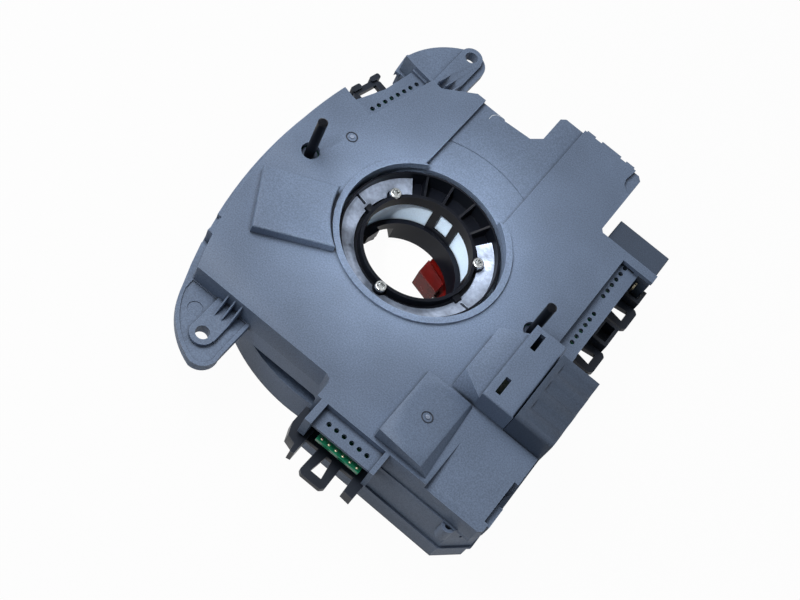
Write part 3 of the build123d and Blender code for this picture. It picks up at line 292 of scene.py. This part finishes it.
def makeScratch(look, cover):
    material = bpy.data.materials.new("scratchedPlastic")
    material.use_nodes = True
    nodes = material.node_tree.nodes
    links = material.node_tree.links
    place = nodes.new("ShaderNodeTexCoord")
    cloud = nodes.new("ShaderNodeTexNoise")
    cloud.inputs["Scale"].default_value = 900.0
    tint = nodes.new("ShaderNodeValToRGB")
    tint.color_ramp.elements[0].color = [c * 0.6 for c in look["colour"]] + [1]
    tint.color_ramp.elements[1].color = [*look["colour"], 1]
    links.new(place.outputs["Object"], cloud.inputs["Vector"])
    links.new(cloud.outputs["Fac"], tint.inputs["Fac"])
    links.new(tint.outputs["Color"], nodes["Principled BSDF"].inputs["Base Color"])
    nodes["Principled BSDF"].inputs["Roughness"].default_value = 0.7
    marks = []
    for (x0, y0), (x1, y1) in zip(look["points"], look["points"][1:]):
        place, normal = onto(cover, (x0 + x1) / 2, (y0 + y1) / 2)
        turn = math.atan2(y1 - y0, x1 - x0)
        bpy.ops.mesh.primitive_cube_add(size=1.0, location=place, rotation=(0, 0, turn))
        mark = bpy.context.object
        length = math.dist((x0, y0), (x1, y1)) + look["width"]
        mark.scale = (length * mm, look["width"] * mm, look["height"] * mm)
        applyAll(mark)
        mark.data.materials.append(material)
        marks.append(mark)
    return marks


# Hub screws: a rounded head with a six-lobed recess, and the shank below it
hubScrew = {"count": 3, "circle": 25.9, "startAngle": 28.4, "headRadius": 2.45, "headHeight": 1.6,
            "round": 0.55, "recessReach": 1.6, "recessWidth": 0.95, "recessDepth": 1.1, "shankRadius": 0.9}


def cutAway(piece, cutter):
    makeActive(piece)
    cut = piece.modifiers.new("cut", "BOOLEAN")
    cut.operation = "DIFFERENCE"
    cut.solver = "EXACT"
    cut.object = cutter
    bpy.ops.object.modifier_apply(modifier="cut")
    makeActive(cutter)
    bpy.ops.object.delete()


def makeHubScrews(look):
    low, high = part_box("ring_screws")
    screws = []
    for index in range(look["count"]):
        angle = math.radians(look["startAngle"] + index * 360 / look["count"])
        x = look["circle"] * math.cos(angle) * mm
        y = look["circle"] * math.sin(angle) * mm
        headFoot = high.z - look["headHeight"] * mm
        headHeight = look["headHeight"] * mm
        bpy.ops.mesh.primitive_cylinder_add(vertices=40, radius=look["headRadius"] * mm, depth=headHeight,
                                            location=(x, y, headFoot + headHeight / 2))
        head = bpy.context.object
        edge = head.modifiers.new("edge", "BEVEL")
        edge.width = look["round"] * mm
        edge.segments = 4
        edge.limit_method = "ANGLE"
        bpy.ops.object.modifier_apply(modifier="edge")
        for lobe in range(3):
            turn = angle + math.radians(60 * lobe + 17)
            bpy.ops.mesh.primitive_cube_add(size=1.0, location=(x, y, high.z), rotation=(0, 0, turn))
            cutter = bpy.context.object
            cutter.scale = (2 * look["recessReach"] * mm, look["recessWidth"] * mm,
                            2 * look["recessDepth"] * mm)
            cutAway(head, cutter)
        bpy.ops.mesh.primitive_cylinder_add(vertices=24, radius=look["shankRadius"] * mm,
                                            depth=headFoot - low.z, location=(x, y, (headFoot + low.z) / 2))
        screws.append(applyAll(bpy.context.object))
        screws.append(applyAll(head))
    screw = joinInto(screws[0], screws[1:])
    screw.name = "hubScrews"
    screw.data.name = "hubScrews"
    dress(screw, "screwZinc")
    bpy.ops.object.shade_smooth_by_angle(angle=smoothAngle)
    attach(screw, bodyOfNode["ring_screws"])
    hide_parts("ring_screws")


# Solder points along the front edge of the board's tongue
solder = {"count": 6, "startX": 21.4, "pitch": 3.4, "fromEdge": 1.5, "radius": 0.6, "height": 0.3}


def makeSolderPoints(look):
    low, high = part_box("circuit_board")
    points = []
    for index in range(look["count"]):
        place = ((look["startX"] + index * look["pitch"]) * mm, low.y + look["fromEdge"] * mm, high.z)
        bpy.ops.mesh.primitive_uv_sphere_add(segments=20, ring_count=10, radius=1.0, location=place)
        point = bpy.context.object
        point.scale = (look["radius"] * mm, look["radius"] * mm, look["height"] * mm)
        points.append(applyAll(point))
    piece = joinInto(points[0], points[1:])
    piece.name = "solderPoints"
    piece.data.name = "solderPoints"
    dress(piece, "contactMetal")
    bpy.ops.object.shade_smooth()
    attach(piece, bodyOfNode["circuit_board"])


# How a moulding's mesh is cleaned and its edges rounded: the weld in millimetres, the angles in degrees
rounding = {"weld": 0.002, "flatAngle": 1.5, "edgeAngle": 35, "segments": 2}

# A moulding keeps its CAD form and gets small rounds along its edges
mouldings = {
    "rear_cover": {"name": "coverMoulding", "round": 0.65},
    "middle_housing": {"name": "housingMoulding", "round": 0.3},
    "front_cover": {"name": "frontMoulding", "round": 0.4},
    "main_connector": {"name": "mainPlugHousing", "round": 0.3},
    "side_connector": {"name": "sidePlugHousing", "round": 0.3},
    "rotor_hub": {"name": "hubMoulding", "round": 0.15},
    "retaining_ring": {"name": "glossRing", "round": 0.2},
    "code_ring": {"name": "whiteDrum", "round": 0.1},
    "lock_tab": {"name": "redTab", "round": 0.3},
}


# Painted shade: the housing's hooks, guides and clips that lie in shade are drawn in a dark finish: boxes in
# millimetres
paintedShadeZones = [
    {"low": (-200, -200, -24), "high": (46, -85.6, -13.5)},
    {"low": (78.6, 4, -24), "high": (200, 61, -12.4)},
    {"low": (-200, 41, -24), "high": (-57.5, 66, -14)},
]


# Painted shade: faces inside the boxes get the dark finish
def paintShadeOnZones(piece, zones):
    piece.data.materials.append(finishMaterials["darkPlasticAndPaintedShade"])
    for face in piece.data.polygons:
        for zone in zones:
            limits = zip(zone["low"], face.center, zone["high"])
            if all(low * mm < value < high * mm for low, value, high in limits):
                face.material_index = 1


def roundMoulding(nodeName, look):
    source = frame["nodes"][nodeName]
    makeActive(source)
    bpy.ops.object.duplicate()
    piece = bpy.context.view_layer.objects.active
    piece.parent = None
    piece.matrix_world = Matrix.Identity(4)
    for key in list(piece.keys()):
        del piece[key]
    piece.name = look["name"]
    piece.data.name = look["name"]
    bpy.ops.object.mode_set(mode="EDIT")
    bpy.ops.mesh.select_all(action="SELECT")
    bpy.ops.mesh.remove_doubles(threshold=rounding["weld"] * mm)
    bpy.ops.mesh.dissolve_limited(angle_limit=math.radians(rounding["flatAngle"]))
    bpy.ops.object.mode_set(mode="OBJECT")
    bpy.ops.object.shade_smooth_by_angle(angle=smoothAngle)
    edge = piece.modifiers.new("edge", "BEVEL")
    edge.width = look["round"] * mm
    edge.segments = rounding["segments"]
    edge.limit_method = "ANGLE"
    edge.angle_limit = math.radians(rounding["edgeAngle"])
    edge.use_clamp_overlap = True
    edge.harden_normals = True
    bpy.ops.object.modifier_apply(modifier="edge")
    if nodeName == "rear_cover":
        piece = joinInto(piece, makeGateMarks(gateMark, piece) + makeScratch(scratch, piece))
    # Painted shade on the housing's hooks, guides and clips
    if nodeName == "middle_housing":
        paintShadeOnZones(piece, paintedShadeZones)
    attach(piece, bodyOfNode[nodeName])
    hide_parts(nodeName)
    return piece


# Camera at the photograph's viewing angle
cameraLook = {
    "place": (50.905 * mm, -336.523 * mm, 502.398 * mm),
    "right": (0.77298913, 0.56761176, 0.28338082),
    "down": (0.63047916, -0.6375895, -0.44269138),
    "ahead": (-0.0705962, 0.52086133, -0.85071714),
    "lens": 67.5,
}
bpy.ops.object.camera_add()
camera = bpy.context.object
camera.name = "photoCamera"
camera.data.lens = cameraLook["lens"]
camera.data.sensor_width = 36.0
camera.data.clip_start = 0.01
upward = [-v for v in cameraLook["down"]]
backward = [-v for v in cameraLook["ahead"]]
axes = Matrix((cameraLook["right"], upward, backward)).transposed()
camera.matrix_world = Matrix.Translation(cameraLook["place"]) @ axes.to_4x4()
bpy.context.scene.camera = camera

# Floor, soft lamps and a plain white surround
studio = {
    "floorColour": (0.4, 0.4, 0.4),
    "floorGlow": 0.97,
    "worldLight": 0.11,
    "lamps": [
        {"name": "topSoft", "place": (-0.30, -0.05, 0.54), "size": 0.45, "power": 3.75},
        {"name": "rightSoft", "place": (0.75, 0.2, 0.55), "size": 0.5, "power": 0.6},
        {"name": "frontSoft", "place": (-0.3, -0.8, 0.6), "size": 0.5, "power": 0.4},
    ],
    "boreLamp": {"name": "boreSpot", "place": (-0.12, -0.32, 0.55), "aim": (0.004, 0.012, -0.02), "beam": 5.6,
                 "power": 58.0},
}


def makeFloor(look):
    bpy.ops.mesh.primitive_plane_add(size=6.0, location=(0, 0, cadLow.z))
    floor = bpy.context.object
    floor.name = "paleFloor"
    material = bpy.data.materials.new("paleFloor")
    material.use_nodes = True
    nodes = material.node_tree.nodes
    links = material.node_tree.links
    shader = nodes["Principled BSDF"]
    shader.inputs["Base Color"].default_value = (*look["floorColour"], 1)
    shader.inputs["Roughness"].default_value = 0.8
    glow = nodes.new("ShaderNodeEmission")
    path = nodes.new("ShaderNodeLightPath")
    seen = nodes.new("ShaderNodeMath")
    seen.operation = "MAXIMUM"
    through = nodes.new("ShaderNodeMath")
    through.operation = "MAXIMUM"
    share = nodes.new("ShaderNodeMath")
    share.operation = "MULTIPLY"
    share.inputs[1].default_value = look["floorGlow"]
    blend = nodes.new("ShaderNodeMixShader")
    links.new(path.outputs["Is Camera Ray"], seen.inputs[0])
    links.new(path.outputs["Is Glossy Ray"], seen.inputs[1])
    links.new(seen.outputs[0], through.inputs[0])
    links.new(path.outputs["Is Transmission Ray"], through.inputs[1])
    links.new(through.outputs[0], share.inputs[0])
    links.new(share.outputs[0], blend.inputs["Fac"])
    links.new(shader.outputs["BSDF"], blend.inputs[1])
    links.new(glow.outputs["Emission"], blend.inputs[2])
    links.new(blend.outputs["Shader"], nodes["Material Output"].inputs["Surface"])
    floor.data.materials.append(material)


def makeSurround(look):
    world = bpy.data.worlds.new("whiteSurround")
    bpy.context.scene.world = world
    world.use_nodes = True
    nodes = world.node_tree.nodes
    links = world.node_tree.links
    light = nodes["Background"]
    light.inputs["Color"].default_value = (0.93, 0.96, 1.0, 1)
    light.inputs["Strength"].default_value = look["worldLight"]
    white = nodes.new("ShaderNodeBackground")
    white.inputs["Color"].default_value = (1, 1, 1, 1)
    path = nodes.new("ShaderNodeLightPath")
    seen = nodes.new("ShaderNodeMath")
    seen.operation = "MAXIMUM"
    through = nodes.new("ShaderNodeMath")
    through.operation = "MAXIMUM"
    blend = nodes.new("ShaderNodeMixShader")
    links.new(path.outputs["Is Camera Ray"], seen.inputs[0])
    links.new(path.outputs["Is Glossy Ray"], seen.inputs[1])
    links.new(seen.outputs[0], through.inputs[0])
    links.new(path.outputs["Is Transmission Ray"], through.inputs[1])
    links.new(through.outputs[0], blend.inputs["Fac"])
    links.new(light.outputs["Background"], blend.inputs[1])
    links.new(white.outputs["Background"], blend.inputs[2])
    links.new(blend.outputs["Shader"], nodes["World Output"].inputs["Surface"])


def makeLamp(look):
    bpy.ops.object.light_add(type="AREA", location=look["place"])
    lamp = bpy.context.object
    lamp.name = look["name"]
    lamp.data.shape = "DISK"
    lamp.data.size = look["size"]
    lamp.data.energy = look["power"]
    aim = Vector((0, 0, 0)) - Vector(look["place"])
    lamp.rotation_euler = aim.to_track_quat("-Z", "Y").to_euler()


def makeSpot(look):
    bpy.ops.object.light_add(type="SPOT", location=look["place"])
    lamp = bpy.context.object
    lamp.name = look["name"]
    lamp.data.energy = look["power"]
    lamp.data.spot_size = math.radians(look["beam"])
    lamp.data.spot_blend = 0.5
    lamp.data.shadow_soft_size = 0.04
    aim = Vector(look["aim"]) - Vector(look["place"])
    lamp.rotation_euler = aim.to_track_quat("-Z", "Y").to_euler()


makeFloor(studio)
makeSurround(studio)
makeSpot(studio["boreLamp"])
for lampLook in studio["lamps"]:
    makeLamp(lampLook)
bpy.context.scene.view_settings.view_transform = "Standard"
print("studio ready")

for nodeName, mouldingLook in mouldings.items():
    roundMoulding(nodeName, mouldingLook)
print("mouldings rounded")
makeHubScrews(hubScrew)
makeSolderPoints(solder)
print("small pieces made")
